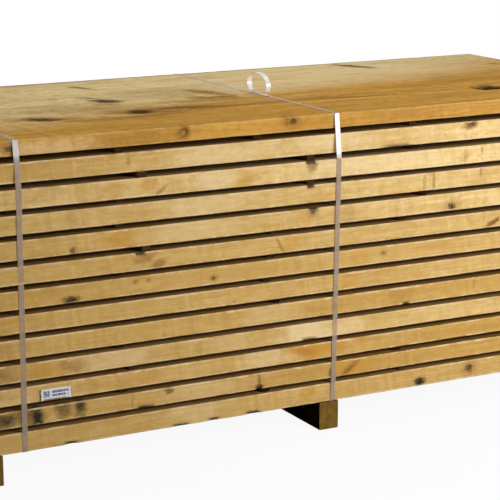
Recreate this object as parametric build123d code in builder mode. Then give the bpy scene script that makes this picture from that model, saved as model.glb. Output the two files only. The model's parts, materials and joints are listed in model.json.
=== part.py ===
"""Strapped stack of rough-sawn lumber.

Rows of boards lie on one another with thin drying sticks between them. Two bearers
carry the stack and leave room for forks, and two plastic straps hold it together.
Millimetres, +X along the boards, -Y to the front, +Z up. The origin is on the floor,
under the middle of the stack. Rows and stick layers are counted from the bottom.
"""
from math import radians, sin
import os

from build123d import *

# Boards: thickness is nominal, each row is a little off it, and the row widths vary too.
board_length = 3300.0
pack_width = 1006.0
board_thickness = 52.0
row_play = (4.0, -4.0, -4.0, -2.0, 2.0, -1.0, 0.0, -1.0, 2.0, 1.0, 2.0, 3.0, -9.0)
arris = 1.2
joint_gap = 5.0
joint_play = 4.0
end_play = 16.0

# How far each row stands back from the front plane, at its left and at its right end.
front_set_back = ((5, 8), (7, 3), (4, 6), (5, 1), (3, 3), (1, 5), (4, 2), (0, 3), (2, 4), (3, 1),
                  (0, 0), (0, 20), (16, 20))
back_set_back = ((6, 10), (12, 4), (0, 8), (9, 15), (3, 3), (14, 9), (5, 0), (11, 6), (2, 12), (8, 4),
                 (0, 7), (10, 2), (2, 0))

# Boards of random width fill a row: their shares of it, in sets that the rows take by turns.
width_sets = ((0.29, 0.24, 0.26, 0.21), (0.23, 0.30, 0.20, 0.27), (0.26, 0.19, 0.31, 0.24),
              (0.21, 0.27, 0.22, 0.30), (0.30, 0.22, 0.28, 0.20))

# Joints that show: (row, joint) to its distance from the front plane at the left and right end.
seen_joints = {(13, 1): (300, 215)}

# Drying sticks: slats across the stack, in columns that stand roughly over one another.
stick_width = 24.0
stick_thickness = 16.0
stick_columns = 8
stick_inset = 45.0
stick_drift = 54.0
stick_play = 18.0
stick_skew = 0.6
stick_recess = 34.0
stick_recess_play = 14.0

# Sticks that show in the photo off their column: (layer, column) to (shift along X, recess).
seen_sticks = {(12, 4): (-38, 30), (12, 5): (30, 34), (11, 3): (43, 3), (11, 4): (127, 12),
               (11, 5): (38, 40), (10, 4): (122, 18), (10, 5): (38, 42), (9, 5): (64, 16),
               (8, 3): (58, 3), (4, 5): (-45, 38), (2, 4): (-42, 36), (1, 5): (6, 20)}

# Bearers: two square-sawn timbers across the stack.
bearer_width = 64.0
bearer_height = 85.0
bearer_left_x = -592.0
bearer_right_x = 468.0
bearer_set_back = 3.0

# Straps: a flat band each, that wanders a little to the side on its way back and down.
strap_spacing = 989.0
strap_width = 16.0
strap_thickness = 0.8
strap_left_skew = -4.0
strap_left_lean = 1.0
strap_right_skew = -34.0
strap_right_lean = -12.0
strap_clearance = 0.1

# Seal: a folded sheet sleeve round both layers of the band, crimped with notches.
seal_length = 32.0
seal_wall = 0.6
seal_clearance = 0.2
seal_from_front = 424.0
notch_radius = 2.2
notch_pitch = 10.0

# Free end of the right strap, curled up behind its seal: arcs of (radius, degrees turned).
tail_lead = 6.0
tail_curl = ((260.0, 12.0), (26.0, 138.0), (85.0, 65.0), (27.0, 90.0))

row_count = len(row_play)
half_length = board_length / 2
half_width = pack_width / 2


def sway(first, second):
    """A repeatable unevenness between -1 and 1 for a numbered piece."""
    return sin(radians(137.5 * first + 61.0 * second * second + 23.0))


def row_thickness(row):
    return board_thickness + row_play[row - 1]


def row_floor(row):
    """Height of the underside of a row."""
    rows_below = sum(row_thickness(lower) for lower in range(1, row))
    return bearer_height + rows_below + (row - 1) * stick_thickness


def row_top(row):
    return row_floor(row) + row_thickness(row)


def row_front(row):
    """The front line of a row, as Y at the left end and at the right end."""
    return tuple(-half_width + set_back for set_back in front_set_back[row - 1])


def row_back(row):
    return tuple(half_width - set_back for set_back in back_set_back[row - 1])


def joint_line(row, joint):
    """Middle of the joint behind a row's board, as Y at the left and at the right end."""
    if (row, joint) in seen_joints:
        return tuple(-half_width + distance for distance in seen_joints[(row, joint)])
    share = sum(width_sets[row % len(width_sets)][:joint])
    ends = zip(row_front(row), row_back(row))
    return tuple(front + share * (back - front) + joint_play * sway(row + 5 * end, joint)
                 for end, (front, back) in enumerate(ends))


def board_edges(row, board):
    """Front and back line of one board, each as Y at the left and at the right end."""
    front = row_front(row)
    back = row_back(row)
    if board > 0:
        front = tuple(y + joint_gap / 2 for y in joint_line(row, board))
    if board < len(width_sets[row % len(width_sets)]) - 1:
        back = tuple(y - joint_gap / 2 for y in joint_line(row, board + 1))
    return front, back


def export(piece, name):
    piece.part.label = name
    export_step(piece.part, f"parts/{name}.step")


def boards_row(row):
    """One row: boards side by side, cut to slightly uneven lengths."""
    with BuildPart() as boards:
        with BuildSketch(Plane.XY.offset(row_floor(row))):
            for board in range(len(width_sets[row % len(width_sets)])):
                front, back = board_edges(row, board)
                left = -half_length + end_play * (1 + sway(row, board)) / 2
                right = half_length - end_play * (1 + sway(board + 7, row)) / 2
                with BuildLine():
                    Polyline((left, front[0]), (right, front[1]), (right, back[1]), (left, back[0]),
                             close=True)
                make_face()
        extrude(amount=row_thickness(row))
        long_edges = boards.edges().filter_by(lambda edge: edge.length > half_length)
        chamfer(long_edges, arris)
    return boards


def stick_place(layer, column):
    """X of a stick and how far its front end stands back from the front plane."""
    span = half_length - stick_inset
    even = span * (2 * column / (stick_columns - 1) - 1)
    column_x = even + stick_drift * (1 - (even / span) ** 2)
    if (layer, column) in seen_sticks:
        shift, recess = seen_sticks[(layer, column)]
        return column_x + shift, recess
    recess = stick_recess + stick_recess_play * sway(column, layer)
    return column_x + stick_play * sway(layer, column + 3), recess


def sticks_row(layer):
    """The sticks that lie on one row and carry the next."""
    with BuildPart() as sticks:
        with BuildSketch(Plane.XY.offset(row_top(layer))):
            for column in range(stick_columns):
                stick_x, recess = stick_place(layer, column)
                back_recess = stick_recess + stick_recess_play * sway(layer, column)
                stick_length = pack_width - recess - back_recess
                stick_y = -half_width + recess + stick_length / 2
                turn = stick_skew * sway(column + 2, layer)
                with Locations(Location((stick_x, stick_y), turn)):
                    Rectangle(stick_width, stick_length)
        extrude(amount=stick_thickness)
    return sticks


def strap_plane(side, skew, lean):
    """Plane of a strap's loop: local X runs back, local Y up and the normal to the right."""
    stack_height = row_top(row_count) - bearer_height
    origin = (side * strap_spacing / 2, -half_width, row_top(row_count))
    return Plane(origin=origin, x_dir=(skew / pack_width, 1, 0),
                 z_dir=(1, -skew / pack_width, lean / stack_height))


def line_in_plane(plane, ends, height, offset):
    """Where a row's long edge crosses a plane parallel to the strap's, in the strap's plane."""
    left = plane.to_local_coords(Vector(-half_length, ends[0], height))
    right = plane.to_local_coords(Vector(half_length, ends[1], height))
    along = (offset - left.Z) / (right.Z - left.Z)
    return left + (right - left) * along


def row_corners(plane, row, reach):
    """A row's section where the strap passes, as the outermost of both strap edges."""
    corners = []
    for ends, outward in ((row_front(row), min), (row_back(row), max)):
        for height, upward in ((row_floor(row), min), (row_top(row), max)):
            near, far = (line_in_plane(plane, ends, height, side * reach) for side in (-1, 1))
            corners.append((outward(near.X, far.X), upward(near.Y, far.Y)))
    return corners


def turns_left(start, middle, end):
    first = (middle[0] - start[0], middle[1] - start[1])
    second = (end[0] - start[0], end[1] - start[1])
    return first[0] * second[1] - first[1] * second[0] > 0


def tight_band(points):
    """The corners that a tight band round all points rests on, in order."""
    ordered = sorted(set(points))
    corners = []
    for side in (ordered, ordered[::-1]):
        chain = []
        for point in side:
            while len(chain) > 1 and not turns_left(chain[-2], chain[-1], point):
                chain.pop()
            chain.append(point)
        corners += chain[:-1]
    return corners


def seal_seat(plane):
    """Where the seal stands on the top row: its middle and the top of its lower leaf."""
    top_corners = row_corners(plane, row_count, strap_width / 2 + seal_clearance + seal_wall)
    seat = max(height for _, height in top_corners)
    return seal_from_front, seat + seal_wall


def strap(plane, with_tail):
    """A band round the whole stack, tight over every corner, with its free end if it shows."""
    seal_middle, leaf_top = seal_seat(plane)
    leaf = [(seal_middle + side * seal_length / 2, leaf_top) for side in (-1, 1)]
    rows = [corner for row in range(1, row_count + 1)
            for corner in row_corners(plane, row, strap_width / 2)]
    rests = tight_band(rows + leaf)
    with BuildPart() as band:
        with BuildSketch(plane):
            with BuildLine():
                Polyline(*rests, close=True)
            make_face()
            offset(amount=strap_clearance + strap_thickness, kind=Kind.INTERSECTION)
            with BuildLine() as rest_line:
                Polyline(*rests, close=True)
            inside = make_face(rest_line.edges(), mode=Mode.PRIVATE)
            offset(inside, amount=strap_clearance, kind=Kind.INTERSECTION, mode=Mode.SUBTRACT)
        extrude(amount=strap_width / 2, both=True)
        if with_tail:
            with BuildSketch(plane):
                with BuildLine() as route:
                    level = leaf_top + strap_clearance + 1.5 * strap_thickness
                    start = seal_middle - seal_length / 2 - tail_lead
                    end = seal_middle + seal_length / 2 + tail_lead
                    lead = Line((start, level), (end, level))
                    for radius, turn in tail_curl:
                        lead = JernArc(lead @ 1, lead % 1, radius, turn)
                trace(route.line, strap_thickness)
            extrude(amount=strap_width / 2, both=True)
    return band


def seal(plane):
    """A sleeve folded round the overlapping layers, with crimp notches along both sides."""
    seal_middle, leaf_top = seal_seat(plane)
    layers = 2 * strap_thickness + 2 * strap_clearance
    inner_width = strap_width + 2 * seal_clearance
    start = plane.from_local_coords(Vector(seal_middle - seal_length / 2, leaf_top + layers / 2, 0))
    section = Plane(origin=start, x_dir=plane.z_dir, z_dir=plane.x_dir)
    with BuildPart() as sleeve:
        with BuildSketch(section):
            Rectangle(inner_width + 2 * seal_wall, layers + 2 * seal_wall)
            Rectangle(inner_width, layers, mode=Mode.SUBTRACT)
        extrude(amount=seal_length)
        middle = plane.from_local_coords(Vector(seal_middle, leaf_top + layers + seal_wall, 0))
        with BuildSketch(Plane(origin=middle, x_dir=plane.x_dir, z_dir=plane.y_dir)):
            with GridLocations(notch_pitch, inner_width + 2 * seal_wall, 2, 2):
                Circle(notch_radius)
        extrude(amount=-(layers / 2 + seal_wall), mode=Mode.SUBTRACT)
    return sleeve


def bearer(centre_x, dent_plane):
    """A timber under the stack; a strap that passes over it has pressed a shallow dent."""
    bearer_length = pack_width - 2 * bearer_set_back
    with BuildPart() as timber:
        with BuildSketch():
            with Locations((centre_x, 0)):
                Rectangle(bearer_width, bearer_length)
        extrude(amount=bearer_height)
        chamfer(timber.edges().filter_by(Axis.Y), arris)
        row_underside = min(height for _, height in row_corners(dent_plane, 1, strap_width / 2))
        dent_depth = strap_thickness + 2 * strap_clearance
        with BuildSketch(dent_plane):
            with Locations((half_width, row_underside)):
                Rectangle(pack_width, 2 * dent_depth)
        extrude(amount=strap_width / 2 + strap_clearance, both=True, mode=Mode.SUBTRACT)
    return timber


os.makedirs("parts", exist_ok=True)

for row_number in range(1, row_count + 1):
    export(boards_row(row_number), f"boards_row_{row_number:02d}")

for layer_number in range(1, row_count):
    export(sticks_row(layer_number), f"sticks_row_{layer_number:02d}")

left_plane = strap_plane(-1, strap_left_skew, strap_left_lean)
right_plane = strap_plane(1, strap_right_skew, strap_right_lean)

export(bearer(bearer_left_x, left_plane), "bearer_left")
export(bearer(bearer_right_x, right_plane), "bearer_right")
export(strap(left_plane, with_tail=False), "strap_left")
export(strap(right_plane, with_tail=True), "strap_right")
export(seal(left_plane), "seal_left")
export(seal(right_plane), "seal_right")
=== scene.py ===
import json
import random
from math import cos, pi, radians, sin

import bmesh
import bpy
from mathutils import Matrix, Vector, noise

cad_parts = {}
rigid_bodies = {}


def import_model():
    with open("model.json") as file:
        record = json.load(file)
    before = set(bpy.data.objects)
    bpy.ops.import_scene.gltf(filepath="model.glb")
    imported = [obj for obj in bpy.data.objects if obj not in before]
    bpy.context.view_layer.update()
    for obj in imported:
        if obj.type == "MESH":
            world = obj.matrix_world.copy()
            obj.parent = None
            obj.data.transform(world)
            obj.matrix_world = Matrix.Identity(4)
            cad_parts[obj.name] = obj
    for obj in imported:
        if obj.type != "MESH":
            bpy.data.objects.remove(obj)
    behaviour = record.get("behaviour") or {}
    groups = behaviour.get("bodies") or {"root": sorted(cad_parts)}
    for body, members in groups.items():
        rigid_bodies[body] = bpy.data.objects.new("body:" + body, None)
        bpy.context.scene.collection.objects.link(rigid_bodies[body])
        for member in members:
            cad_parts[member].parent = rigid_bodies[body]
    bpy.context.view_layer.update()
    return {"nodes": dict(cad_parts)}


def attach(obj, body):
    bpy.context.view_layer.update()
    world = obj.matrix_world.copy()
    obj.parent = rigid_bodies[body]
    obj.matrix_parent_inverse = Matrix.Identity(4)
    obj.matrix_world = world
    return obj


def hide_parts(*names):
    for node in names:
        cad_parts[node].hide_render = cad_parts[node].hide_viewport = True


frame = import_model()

# Camera: a long lens from the front left, a little above the stack, looking slightly down.
objects = bpy.context.scene.collection.objects
camera_place = (-2.228, -5.02, 1.758)
camera_yaw = 28.26
camera_pitch = 12.97
camera_data = bpy.data.cameras.new("camera")
camera_data.sensor_width = 36.0
camera_data.sensor_fit = "HORIZONTAL"
camera_data.lens = 133.2
camera = bpy.data.objects.new("camera", camera_data)
camera.location = camera_place
camera.rotation_euler = (radians(90.0 - camera_pitch), 0.0, radians(-camera_yaw))
objects.link(camera)
bpy.context.scene.camera = camera

# Lower twelve rows of boards: rough-sawn softwood, straight from the saw, so the faces are clean and
# yellow, with faint saw lines, knots and stains. Each board is cut from another place in the log: its
# growth rings run round a pith line of its own. The arrises are torn a little and some keep wane.
row_count = 13
station_pitch = 0.045
arris_band = 0.011
arris_tear = 0.0021
at_arris = 0.003
at_face = 0.0005
face_unevenness = 0.0006
end_unevenness = 0.0008
short_bite = 0.06
back_chips = 26
tones_from, tones_run = -0.6, 1.7

# Wane and torn bits on the front boards: row, corner, middle along X, half length, depth.
front_bites = (
    (1, "low", -0.357, 0.022, 0.007), (1, "low", 0.085, 0.016, 0.004), (1, "low", 0.213, 0.026, 0.006),
    (1, "low", -0.02, 0.03, 0.003), (8, "top", -0.142, 0.02, 0.005),
    (11, "top", 0.398, 0.02, 0.004), (10, "top", 0.4, 0.016, 0.005), (2, "low", 0.234, 0.014, 0.005),
    (9, "top", 0.409, 0.02, 0.003), (5, "low", 0.735, 0.016, 0.003), (4, "low", 0.4, 0.03, 0.002),
    (2, "low", -0.13, 0.03, 0.003), (12, "low", 0.7, 0.06, 0.002),
)
# Where bark has fallen out of a long edge: row, board, side, middle along X, half length, reach, depth.
bark_hollows = ((13, 1, "front", 1.182, 0.048, 0.075, 0.027), (13, 1, "front", 1.275, 0.075, 0.045, 0.02),
                (13, 0, "back", 1.18, 0.04, 0.022, 0.012))


def wander(seed, place, scale):
    """Smooth repeatable unevenness between about -1 and 1 along a piece."""
    return noise.noise(Vector((place / scale, seed * 7.31, seed * 2.17)))


def one_solid(node, index, along):
    """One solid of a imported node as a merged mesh; the solids are counted along an axis."""
    solids = bmesh.new()
    solids.from_mesh(frame["nodes"][node].data)
    bmesh.ops.remove_doubles(solids, verts=solids.verts[:], dist=1e-5)
    bmesh.ops.dissolve_limit(solids, angle_limit=radians(1), verts=solids.verts[:], edges=solids.edges[:])
    left, groups = set(solids.verts), []
    while left:
        found = [left.pop()]
        for vert in found:
            for edge in vert.link_edges:
                other = edge.other_vert(vert)
                if other in left:
                    left.remove(other)
                    found.append(other)
        groups.append(found)
    groups.sort(key=lambda verts: sum(vert.co[along] for vert in verts) / len(verts))
    others = [vert for group in groups[:index] + groups[index + 1:] for vert in group]
    bmesh.ops.delete(solids, geom=others, context="VERTS")
    return solids, len(groups)


def cut(piece, place, normal):
    bmesh.ops.bisect_plane(piece, geom=piece.verts[:] + piece.edges[:] + piece.faces[:],
                           plane_co=place, plane_no=normal, dist=1e-6)


def sharpen(piece, angle=24):
    for edge in piece.edges:
        edge.smooth = len(edge.link_faces) == 2 and edge.calc_face_angle(0) < radians(angle)
    for face in piece.faces:
        face.smooth = True


def meshed(shape, name):
    mesh = bpy.data.meshes.new(name)
    shape.to_mesh(mesh)
    shape.free()
    return mesh


def gather(pieces, piece):
    """Moves a finished solid in with the others of its piece."""
    part = meshed(piece, "part")
    pieces.from_mesh(part)
    bpy.data.meshes.remove(part)


def show(piece_mesh, name, materials, node=None):
    """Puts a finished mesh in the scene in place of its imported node."""
    piece = bpy.data.objects.new(name, piece_mesh)
    objects.link(piece)
    for material in materials:
        piece_mesh.materials.append(material)
    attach(piece, "root")
    if node:
        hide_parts(node)


def sawn_board(row, index, tone):
    """A board of a row, cut into short lengths, with torn arrises and wane."""
    board, _ = one_solid(f"boards_row_{row:02d}", index, 1)
    places = [vert.co for vert in board.verts]
    left, right = min(p.x for p in places), max(p.x for p in places)
    low, top = min(p.z for p in places), max(p.z for p in places)
    seed = row * 10 + index
    draw = random.Random(seed)

    def line(pick):
        """A long side: its Y at each X, and the direction across it."""
        ends = [pick(p.y for p in places if abs(p.x - end) < 0.02) for end in (left, right)]
        slope = (ends[1] - ends[0]) / (right - left)
        return lambda x: ends[0] + slope * (x - left), Vector((-slope, 1, 0)).normalized()

    front, front_normal = line(min)
    back, back_normal = line(max)
    stations = [left + 0.004, left + 0.018, right - 0.018, right - 0.004]
    x = left + 0.05
    while x < right - 0.04:
        stations.append(x)
        x += station_pitch * draw.uniform(0.75, 1.25)
    bites = [("front", *bite[1:]) for bite in front_bites if bite[0] == row and index == 0]
    for _ in range(draw.choice((0, 1, 1, 2)) if row < row_count else 0):
        side = "back" if index == 0 else draw.choice(("front", "back"))
        bites.append((side, draw.choice(("low", "top")), draw.uniform(left, right),
                      draw.uniform(0.08, 0.5), draw.uniform(0.003, 0.01)))
    if (row, index) == (row_count, 3):
        bites += [("back", "top", draw.uniform(left, right), draw.uniform(0.015, 0.05),
                   draw.uniform(0.002, 0.005)) for _ in range(back_chips)]
    for _, _, middle, half, _ in bites:
        if half < short_bite:
            stations += [middle + half * share for share in (-1, -0.6, -0.25, 0.1, 0.5, 1)]
    hollows = [hollow[2:] for hollow in bark_hollows if hollow[:2] == (row, index)]
    for side, middle, half, hollow_reach, _ in hollows:
        stations += [middle + half * share
                     for share in (-1, -0.8, -0.6, -0.35, -0.1, 0.15, 0.4, 0.65, 0.85, 1)]
        edge, normal, inward = (front, front_normal, 1) if side == "front" else (back, back_normal, -1)
        for share in (0.45, 0.72, 1.0):
            cut(board, (left, edge(left) + inward * hollow_reach * share, 0), normal)
    for x in stations:
        cut(board, (x, 0, 0), (1, 0, 0))
    cut(board, (left, front(left) + arris_band, 0), front_normal)
    cut(board, (left, back(left) - arris_band, 0), back_normal)
    cut(board, (0, 0, low + arris_band), (0, 0, 1))
    cut(board, (0, 0, top - arris_band), (0, 0, 1))

    pith_layer = board.verts.layers.float_vector.new("pith")
    tone_layer = board.verts.layers.float.new("tone")
    wane_layer = board.verts.layers.float.new("wane")
    worn_layer = board.verts.layers.float.new("worn")
    middle_y, middle_z = (front(0) + back(0)) / 2, (low + top) / 2
    turn, reach = draw.uniform(0, 2 * pi), draw.uniform(0.03, 0.16)
    pith = Vector((draw.uniform(0, 40), middle_y + reach * cos(turn), middle_z + reach * sin(turn)))
    drawn_tone = draw.random()
    # A given tone runs from its left value to its right one; on the front boards of the lower rows it is
    # partly painted shade.
    left_tone, right_tone = (drawn_tone, drawn_tone) if tone is None else tone
    for vert in board.verts:
        p = vert.co.copy()
        vert[pith_layer] = pith
        picture_share = min(1, max(0, (p.x - tones_from) / tones_run))
        vert[tone_layer] = left_tone + (right_tone - left_tone) * picture_share
        from_front, from_back = p.y - front(p.x), back(p.x) - p.y
        from_low, from_top = p.z - low, top - p.z
        side, across = ("front", from_front) if from_front < from_back else ("back", from_back)
        corner, up = ("low", from_low) if from_low < from_top else ("top", from_top)
        inward = 1 if side == "front" else -1
        upward = 1 if corner == "low" else -1
        line_seed = seed + (0.3 if side == "front" else 0.6) + (0.1 if corner == "low" else 0.2)
        for hollow_side, middle, half, hollow_reach, depth in hollows:
            if hollow_side == side and from_top < 0.02 and across < hollow_reach + 0.001:
                length_share = max(0.0, 1 - abs((p.x - middle) / half) ** 1.5)
                drop = depth * length_share ** 0.6 * (0.85 + 0.3 * wander(seed + 4, p.x, 0.015))
                drop *= max(0.0, 1 - across / hollow_reach) ** 0.8 * max(0.0, 1 - from_top / 0.03)
                vert.co.z -= drop
                vert[wane_layer] = max(vert[wane_layer], min(1.0, drop / 0.004))
        on_arris = across < at_arris and up < at_arris
        vert[worn_layer] = 1.0 if on_arris else 0.0
        if on_arris:
            frayed = wander(line_seed, p.x, 0.11) + 0.7 * wander(line_seed + 5, p.x, 0.03)
            tear = arris_tear * max(0.0, 0.35 + frayed)
            for bite_side, bite_corner, middle, half, depth in bites:
                if (bite_side, bite_corner) == (side, corner):
                    share = max(0.0, 1 - ((p.x - middle) / half) ** 2)
                    bite = depth * share ** 0.5 * (0.8 + 0.4 * wander(line_seed + 9, p.x, 0.02))
                    tear += bite
                    vert[wane_layer] = max(vert[wane_layer], min(1.0, bite / 0.002))
            if across < up:
                vert.co.z += upward * tear
            else:
                vert.co.y += inward * tear
        elif across < at_face:
            vert.co.y += inward * face_unevenness * (0.5 + 0.5 * wander(line_seed + 3, p.x, 0.35))
        if p.x < left + 0.001 or p.x > right - 0.001:
            vert.co.x += (1 if p.x < 0 else -1) * end_unevenness * (0.5 + wander(seed + 2, p.y + p.z, 0.03))
    return board


def sawn_boards(row, materials, tones):
    """A row of boards as one piece, its end faces in the second material."""
    boards = bmesh.new()
    for index, tone in enumerate(tones):
        gather(boards, sawn_board(row, index, tone))
    boards.normal_update()
    arris_layer = boards.faces.layers.float.new("arris")
    inner_layer = boards.faces.layers.float.new("inner")
    for face in boards.faces:
        # Faces inside the gaps are flagged here for the painted shade of the material.
        face[inner_layer] = 1.0 if abs(face.normal.z) > 0.97 and row < row_count else 0.0
        face.material_index = 1 if abs(face.normal.x) > 0.9 else 0
        # Chamfer faces, flagged for the pale arris colour, which is partly a painted highlight.
        face[arris_layer] = 1.0 if abs(face.normal.x) < 0.5 and 0.3 < abs(face.normal.z) < 0.95 else 0.0
    sharpen(boards)
    show(meshed(boards, f"row_{row:02d}"), f"lumber_row_{row:02d}", materials, f"boards_row_{row:02d}")


def put(tree, kind, wires=None, **settings):
    """A node: its settings, and a value or another node's socket for each of its inputs."""
    made = tree.nodes.new(kind)
    for name, value in settings.items():
        setattr(made, name, value)
    for name, value in (wires or {}).items():
        if isinstance(value, bpy.types.NodeSocket):
            tree.links.new(value, made.inputs[name])
        else:
            made.inputs[name].default_value = value
    return made


def link(tree, inputs, **sockets):
    """Links a socket to each named input of a shader, or output of a group."""
    for name, socket in sockets.items():
        tree.links.new(socket, inputs[name.replace("_", " ")])


def calc(tree, operation, *values):
    return put(tree, "ShaderNodeMath", dict(enumerate(values)), operation=operation).outputs[0]


def reckon(tree, operation, *values):
    """Vector arithmetic; a length or a dot product comes out as a number."""
    wires = dict(enumerate(values))
    if operation == "SCALE":
        wires = {0: values[0], "Scale": values[1]}
    made = put(tree, "ShaderNodeVectorMath", wires, operation=operation)
    return made.outputs["Value" if operation in ("LENGTH", "DOT_PRODUCT") else "Vector"]


def fade(tree, value, start, end, low=0.0, high=1.0):
    """Runs smoothly from low to high as the value goes from start to end."""
    return put(tree, "ShaderNodeMapRange", {"Value": value, "From Min": start, "From Max": end,
                                            "To Min": low, "To Max": high},
               interpolation_type="SMOOTHSTEP").outputs["Result"]


def tint(tree, share, first, second, kind="MIX"):
    return put(tree, "ShaderNodeMix", {0: share, 6: first, 7: second},
               data_type="RGBA", blend_type=kind).outputs[2]


def cloud(tree, vector, scale, detail=2.0, rough=0.5, size=3, swirl=0.0):
    """Noise over the surface: its value and its colour."""
    made = put(tree, "ShaderNodeTexNoise", {"Scale": scale, "Detail": detail, "Roughness": rough,
                                            "Distortion": swirl}, noise_dimensions=f"{size}D")
    tree.links.new(vector, made.inputs["W" if size == 1 else "Vector"])
    return made.outputs[0], made.outputs[1]


def about_zero(tree, value):
    return calc(tree, "SUBTRACT", value, 0.5)


def drift(tree, vector, scale, amount, detail=2.0, rough=0.5):
    """A push that wanders over the surface and bends a pattern out of line."""
    push = reckon(tree, "SUBTRACT", cloud(tree, vector, scale, detail, rough)[1], (0.5, 0.5, 0.5))
    return reckon(tree, "SCALE", push, amount)


def along_log(tree, vector, pith):
    """A place moved to where in the log its board comes from, and how far it was moved."""
    start = put(tree, "ShaderNodeSeparateXYZ", {0: pith}).outputs[0]
    return reckon(tree, "ADD", vector, put(tree, "ShaderNodeCombineXYZ", {0: start}).outputs[0]), start


def new_group(name, inputs, outputs):
    group = bpy.data.node_groups.new(name, "ShaderNodeTree")
    kinds = {float: "NodeSocketFloat", tuple: "NodeSocketVector"}
    for socket_name, value in inputs.items():
        socket = group.interface.new_socket(socket_name, in_out="INPUT", socket_type=kinds[type(value)])
        socket.default_value = value
    for socket_name in outputs:
        group.interface.new_socket(socket_name, in_out="OUTPUT", socket_type="NodeSocketFloat")
    return group, group.nodes.new("NodeGroupInput").outputs, group.nodes.new("NodeGroupOutput").inputs


def place_group(tree, group, **values):
    return put(tree, "ShaderNodeGroup", {name.replace("_", " "): value for name, value in values.items()},
               node_tree=group).outputs


def new_material(name):
    """A material with its node tree, its shader and the Object coordinates."""
    made = bpy.data.materials.new(name)
    made.use_nodes = True
    tree = made.node_tree
    return made, tree, tree.nodes["Principled BSDF"], put(tree, "ShaderNodeTexCoord").outputs["Object"]


def relief(tree, height, strength, distance):
    wires = {"Height": height, "Strength": strength, "Distance": distance}
    return put(tree, "ShaderNodeBump", wires).outputs[0]


# Growth rings round the pith line, and the fibres along it. The grain runs along X.
nowhere = (0.0, 0.0, 0.0)
growth, given, gives = new_group(
    "growth_rings",
    {"Vector": nowhere, "Pith": nowhere, "Ring Width": 0.004, "Wander": 0.03, "Flame": 0.0, "Bend": 0.0},
    ("Rings", "Fibre", "Patch", "Slope", "Mottle", "Blotch", "Speck"))
moved, start = along_log(growth, given["Vector"], given["Pith"])
swerve = drift(growth, reckon(growth, "MULTIPLY", moved, (0.6, 4.0, 4.0)), 1.0, given["Wander"])
ripple = drift(growth, reckon(growth, "MULTIPLY", moved, (11.0, 30.0, 30.0)), 1.0, given["Flame"])
from_pith = reckon(growth, "SUBTRACT", given["Vector"], given["Pith"])
from_pith = reckon(growth, "ADD", from_pith, reckon(growth, "ADD", swerve, ripple))
square_on = reckon(growth, "MULTIPLY", from_pith, (0.0, 1.0, 1.0))
radius = calc(growth, "ADD", reckon(growth, "LENGTH", square_on), given["Bend"])
uneven = cloud(growth, calc(growth, "ADD", radius, start), 30.0, 1.0, size=1)[0]
uneven = calc(growth, "MULTIPLY", uneven, 2.5)
phase = calc(growth, "ADD", calc(growth, "DIVIDE", radius, given["Ring Width"]), uneven)
saw_tooth = calc(growth, "FRACT", phase)
late = calc(growth, "POWER", saw_tooth, 2.2)
link(growth, gives, Rings=calc(growth, "MULTIPLY", late, fade(growth, saw_tooth, 1.0, 0.9)))
for name, squeeze, detail, rough, swirl in (
        ("Fibre", (4.0, 260.0, 260.0), 3.0, 0.6, 0.0), ("Patch", (3.2, 14.0, 14.0), 3.0, 0.55, 0.0),
        ("Slope", (1.5, 45.0, 45.0), 2.0, 0.5, 0.0), ("Mottle", (11.0, 30.0, 30.0), 5.0, 0.66, 1.6),
        ("Blotch", (34.0, 48.0, 48.0), 3.0, 0.6, 0.8)):
    stretched = reckon(growth, "MULTIPLY", moved, squeeze)
    link(growth, gives, **{name: cloud(growth, stretched, 1.0, detail, rough, swirl=swirl)[0]})
dots = put(growth, "ShaderNodeTexVoronoi", {"Vector": moved, "Scale": 42.0}).outputs
rare = calc(growth, "LESS_THAN", put(growth, "ShaderNodeSeparateColor", {0: dots["Color"]}).outputs[0], 0.12)
link(growth, gives, Speck=calc(growth, "MULTIPLY", fade(growth, dots["Distance"], 0.13, 0.03), rare))

# Marks of the saw blade across the grain: fine lines, and broad bands where it cut faster.
saw, given, gives = new_group("saw_marks", {"Vector": nowhere, "Shift": 0.0, "Lean": 0.12}, ("Line", "Band"))
parts = put(saw, "ShaderNodeSeparateXYZ", {0: given["Vector"]}).outputs
leaning = calc(saw, "MULTIPLY", calc(saw, "ADD", parts[1], parts[2]), given["Lean"])
run = calc(saw, "ADD", calc(saw, "ADD", parts[0], leaning), given["Shift"])
fine = cloud(saw, run, 300.0, 2.0, 0.6, size=1)[0]
hold = fade(saw, cloud(saw, given["Vector"], 6.0)[0], 0.42, 0.66)
broad = cloud(saw, run, 38.0, 2.0, 0.6, size=1)[0]
loose = fade(saw, cloud(saw, given["Vector"], 4.0)[0], 0.35, 0.65)
link(saw, gives, Line=calc(saw, "MULTIPLY", about_zero(saw, fine), hold),
     Band=calc(saw, "MULTIPLY", about_zero(saw, broad), loose))

# A knot: the stub of a branch, dark, with its own rings, and the grain swept round it.
knot, given, gives = new_group(
    "knot", {"Vector": nowhere, "Centre": nowhere, "Radius": 0.01, "Strength": 1.0},
    ("Core", "Halo", "Bend"))
away = reckon(knot, "SUBTRACT", given["Vector"], given["Centre"])
grit = calc(knot, "DIVIDE", 1.3, given["Radius"])
ragged = drift(knot, given["Vector"], grit, calc(knot, "MULTIPLY", given["Radius"], 1.9), 3.0, 0.6)
oval = reckon(knot, "MULTIPLY", reckon(knot, "ADD", away, ragged), (0.8, 0.5, 1.0))
apart = calc(knot, "DIVIDE", reckon(knot, "LENGTH", oval), given["Radius"])
broken = fade(knot, cloud(knot, given["Vector"], calc(knot, "MULTIPLY", grit, 2.0))[0], 0.35, 0.6, 0.6, 1.0)
core = calc(knot, "MULTIPLY", fade(knot, apart, 1.2, 0.3), broken)
link(knot, gives, Core=calc(knot, "MULTIPLY", core, given["Strength"]),
     Halo=calc(knot, "MULTIPLY", fade(knot, apart, 2.8, 0.6), given["Strength"]),
     Bend=calc(knot, "MULTIPLY", fade(knot, apart, 3.2, 0.0), calc(knot, "MULTIPLY", given["Radius"], 0.8)))

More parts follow.
